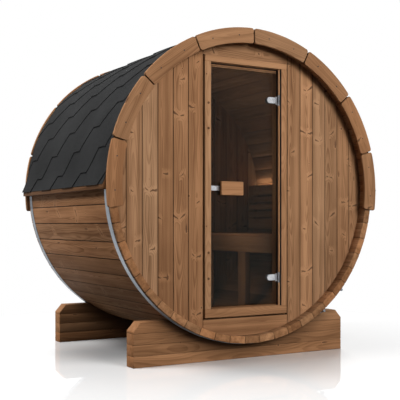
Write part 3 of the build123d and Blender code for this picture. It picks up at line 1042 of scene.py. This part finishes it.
def door_seal():
    """Black seals: one up each jamb behind its front edge, and one round the sides and top of the glass."""
    lips = ((JAMB_LOW.y + SEAL_SET, BEAD_FRONT), (GLASS_LOW.y - SEAL_LAP, GLASS_HIGH.y + SEAL_LAP))
    strips = []
    for front, back in lips:
        for side in (-1, 1):
            strips.append(block("strip", (side * REVEAL - SEAL_HALF, front, SILL_TOP),
                                (side * REVEAL + SEAL_HALF, back, SOFFIT), SEAL_EDGE))
    front, back = lips[1]
    strips.append(block("strip", (-REVEAL, front, SOFFIT - SEAL_HALF),
                        (REVEAL, back, SOFFIT + SEAL_HALF), SEAL_EDGE))
    return fit_out(join("door_seal", strips), "cabin", "rubber_seal", SEAL_RUBBER)


def hinge_spans():
    """Lowest and highest point of each hinge plate, from the sill up."""
    points = wall_plates.data.vertices
    spans = []
    for plate in boards_of(wall_plates.data):
        heights = [points[i].co.z for i in plate]
        spans.append((min(heights), max(heights)))
    return sorted(spans)


def hinge_bead():
    """Timber bead on the hinge jamb, let in between the hinge plates."""
    levels = [SILL_TOP]
    for low, high in hinge_spans():
        levels += [low - PLATE_GAP, high + PLATE_GAP]
    levels.append(SOFFIT)
    lengths = [block("bead", (REVEAL - BEAD_W, BEAD_FRONT, low),
                     (REVEAL + BEAD_SINK, BEAD_FRONT + BEAD_DEPTH, high), BEAD_EDGE)
               for low, high in zip(levels[::2], levels[1::2])]
    bead = join("hinge_side_bead", lengths)
    lay_grain(bead, mix=BEAD_MIX)
    # The bead's paler wood is painted light, standing in for light that the frame keeps off it
    return fit_out(bead, "cabin", "wood_frame", BEAD_WOOD_PAINTED_LIGHT)


def top_bead():
    """Timber bead in two thin steps along the top edge of the glass."""
    top = GLASS_HIGH.z - TOP_BEAD_DROP
    steps = [block("bead", (GLASS_LOW.x + TOP_BEAD_SHORT, GLASS_LOW.y - out, top - low),
                   (GLASS_HIGH.x - TOP_BEAD_SHORT, GLASS_LOW.y + TOP_BEAD_SINK, top - high), TOP_BEAD_EDGE)
             for high, low, out in TOP_BEAD_STEPS]
    bead = join("glass_top_bead", steps)
    lay_grain(bead, mix=BEAD_MIX)
    return fit_out(bead, "door", "wood_frame", DOOR_WOOD)


def cover_strip(span, low, high):
    return block("cover", (REVEAL - span[0], PLATE_FRONT - COVER_T, low),
                 (REVEAL - span[1], PLATE_FRONT, high), COVER_EDGE)


def hinge_covers():
    """Steel cover on the front edge of each hinge plate, cut back beside the clamp."""
    strips = []
    for low, high in hinge_spans():
        middle = (low + high) / 2
        strips.append(cover_strip(COVER_OUTER, low, high))
        strips.append(cover_strip(COVER_INNER, low, middle - CLAMP_ROOM))
        strips.append(cover_strip(COVER_INNER, middle + CLAMP_ROOM, high))
    return fit_out(join("hinge_plate_covers", strips), "cabin", "steel_fitting", FITTING_STEEL)


door_seal()
hinge_bead()
top_bead()
hinge_covers()


# Plugs over the screws that fix the frame's latch side

PLUG_LEVELS = (1.6408, 1.4795, 0.6922, 0.5276)
PLUG_R = 0.0082
PLUG_SHIFT = 0.0075
SMALL_PLUG_LEVELS = (1.8215, 0.8597)
SMALL_PLUG_R = 0.0048
SMALL_PLUG_SHIFT = -PLUG_SHIFT
PLUG_SIDES = 18


def plug_row(levels, radius, shift):
    stile = -(JAMB_LOW.x + JAMB_HIGH.x) / 2 + shift
    places = [(stile, JAMB_LOW.y - HEAD_PROUD, level) for level in levels]
    return heads_at(places, radius, PLUG_SIDES, -1)


def stile_plugs():
    heads = plug_row(PLUG_LEVELS, PLUG_R, PLUG_SHIFT)
    heads += plug_row(SMALL_PLUG_LEVELS, SMALL_PLUG_R, SMALL_PLUG_SHIFT)
    plugs = join("door_frame_plugs", heads)
    lay_grain(plugs)
    return fit_out(plugs, "cabin", "wood_frame", PLUG_WOOD)


stile_plugs()


# Light strip behind the backrest

STRIP_NEAR, STRIP_FAR = 0.06, 0.01
STRIP_DROP = 0.034
STRIP_H = 0.018
STRIP_SPAN = (0.017, 0.001)
STRIP_EDGE = 0.003
SHELF_SPAN = (0.040, 0.0005)
SHELF_LEVELS = (-0.012, -0.0003)
RIM_SPAN = (0.0405, 0.0335)
RIM_LEVELS = (-0.0125, 0.027)
LEDGE_EDGE = 0.0015


def light_strip():
    """A lit bar on the wall behind the backrest's top edge, on a ledge that keeps its light up."""
    low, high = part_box("backrest_slats")
    level = high.z - STRIP_DROP
    wall = math.sqrt(INNER_R ** 2 - (level + STRIP_H - AXIS_Z) ** 2)

    def bar(name, span, levels, edge):
        return block(name, (wall - span[0], low.y + STRIP_NEAR, level + levels[0]),
                     (wall - span[1], high.y - STRIP_FAR, level + levels[1]), edge)

    lit = bar("bench_light", STRIP_SPAN, (0, STRIP_H), STRIP_EDGE)
    fit_out(lit, "cabin", "lamp_strip", STRIP_GLOW)
    ledge = join("bench_light_ledge", [bar("shelf", SHELF_SPAN, SHELF_LEVELS, LEDGE_EDGE),
                                       bar("rim", RIM_SPAN, RIM_LEVELS, LEDGE_EDGE)])
    lay_grain(ledge)
    fit_out(ledge, "cabin", "wood_bench", BENCH_WOOD)


light_strip()


# Floor, light and camera

FLOOR_SIZE = 60
FLOOR_WHITE = 0.90
# Grey, shape and fade of the shadow painted on the floor under the barrel
FLOOR_PAINTED_SHADOW = 0.44
PAINTED_SHADOW_SHAPE = (0.45, 1, 0)
PAINTED_SHADOW_FADE = (0.25, 0.66)
WHITE_FADE = (1.15, 2.7)
BOUNCE_GREY = (0.06, 0.059, 0.058, 1)
WHITE = (1, 1, 1, 1)
SKY_LIGHT = 0.12
LAMP_SPREAD = math.radians(150)
EYE = (-2.9009, -5.1082, 0.870)
YAW = math.radians(-29.883)
LENS = 73.29
SHIFT_UP = 0.0615


def seen_rays(tree):
    """One for rays that look at the studio, zero for rays that gather its light."""
    ray = put(tree, "ShaderNodeLightPath").outputs
    mirrored = figure_of(tree, "MAXIMUM", ray["Is Glossy Ray"], ray["Is Transmission Ray"])
    return figure_of(tree, "MAXIMUM", ray["Is Camera Ray"], mirrored)


def floor():
    """A polished floor with a painted shadow under the barrel, that turns white away from it and gives
    little light back.
    """
    deselect()
    bpy.ops.mesh.primitive_plane_add(size=FLOOR_SIZE, location=(0, 0, 0))
    plane = rest_in_mesh()
    plane.name = "studio_floor"
    material, tree, shader = new_material("studio_floor")
    place = place_on(tree)
    # Painted shadow: the floor's colour goes grey under the barrel
    under = length_of(tree, stretch(tree, place, PAINTED_SHADOW_SHAPE))
    tree.links.new(fade(tree, under, *PAINTED_SHADOW_FADE, FLOOR_PAINTED_SHADOW, FLOOR_WHITE), shader.inputs["Base Color"])
    shader.inputs["Roughness"].default_value = 0.015
    shader.inputs["Specular IOR Level"].default_value = 1.0
    seen = seen_rays(tree)
    far = times(tree, fade(tree, length_of(tree, place), *WHITE_FADE), seen)
    white = put(tree, "ShaderNodeEmission", {"Color": WHITE, "Strength": 1.0})
    blank = put(tree, "ShaderNodeBsdfDiffuse", {"Color": BOUNCE_GREY})
    near = put(tree, "ShaderNodeMixShader", {0: seen, 1: blank.outputs[0], 2: shader.outputs[0]})
    both = put(tree, "ShaderNodeMixShader", {0: far, 1: near.outputs[0], 2: white.outputs[0]})
    tree.links.new(both.outputs[0], tree.nodes["Material Output"].inputs["Surface"])
    plane.data.materials.append(material)


def world():
    """A white room that lights softly."""
    sky = bpy.data.worlds.new("studio")
    bpy.context.scene.world = sky
    sky.use_nodes = True
    tree = sky.node_tree
    tree.nodes.clear()
    soft = put(tree, "ShaderNodeBackground", {"Color": WHITE, "Strength": SKY_LIGHT})
    white = put(tree, "ShaderNodeBackground", {"Color": WHITE, "Strength": 1.0})
    both = put(tree, "ShaderNodeMixShader", {0: seen_rays(tree), 1: soft.outputs[0], 2: white.outputs[0]})
    put(tree, "ShaderNodeOutputWorld", {"Surface": both.outputs[0]})


def panel_lamp(name, place, target, sizes, power):
    """A rectangle of light, aimed at a point."""
    lamp = bpy.data.lights.new(name, "AREA")
    lamp.shape = "RECTANGLE"
    lamp.size, lamp.size_y = sizes
    lamp.energy = power
    holder = bpy.data.objects.new(name, lamp)
    holder.location = place
    holder.rotation_euler = (Vector(target) - Vector(place)).to_track_quat("-Z", "Y").to_euler()
    holder.visible_glossy = False
    bpy.context.scene.collection.objects.link(holder)
    return holder


def softbox(name, place, target, size, power):
    panel_lamp(name, place, target, (size, size), power)


def cabin_lamp(name, place, target, sizes, power, colour):
    """A soft panel of light inside the cabin that is never seen itself."""
    holder = panel_lamp(name, place, target, sizes, power)
    holder.data.spread = LAMP_SPREAD
    holder.data.color = colour
    holder.visible_camera = holder.visible_transmission = False


def camera():
    data = bpy.data.cameras.new("photo_camera")
    data.sensor_width = 36
    data.lens = LENS
    data.shift_y = SHIFT_UP
    data.clip_end = 200
    holder = bpy.data.objects.new("photo_camera", data)
    holder.location = EYE
    holder.rotation_euler = (math.radians(90), 0, YAW)
    bpy.context.scene.collection.objects.link(holder)
    bpy.context.scene.camera = holder


floor()
world()
softbox("softbox_above", (0.0, 0.0, 7.0), (0, 0, 1), 5.0, 40)
softbox("softbox_key", (0.7, -7.3, 3.2), (0, -0.4, 1.0), 3.0, 492)
softbox("softbox_left", (-4.95, 0.9, 6.1), (0, 0, 1.0), 3.4, 705)
softbox("softbox_back", (5.2, 5.6, 4.2), (0, 0, 1.0), 4.0, 640)
cabin_lamp("room_lamp", (-0.35, -0.05, 0.75), (0.02, -0.20, 1.75), (0.3, 0.3), 4.9, (1.0, 0.92, 0.82))
cabin_lamp("floor_lamp", (-0.25, -0.25, 0.80), (0.20, 0.10, 0.10), (0.3, 0.3), 2.4, (1.0, 0.90, 0.78))
cabin_lamp("wall_wash", (0.918, 0.08, 1.186), (0.945, 0.08, 1.228), (1.04, 0.012), 1.3,
           (1.0, 0.84, 0.64))
camera()
bpy.context.scene.view_settings.view_transform = "Standard"
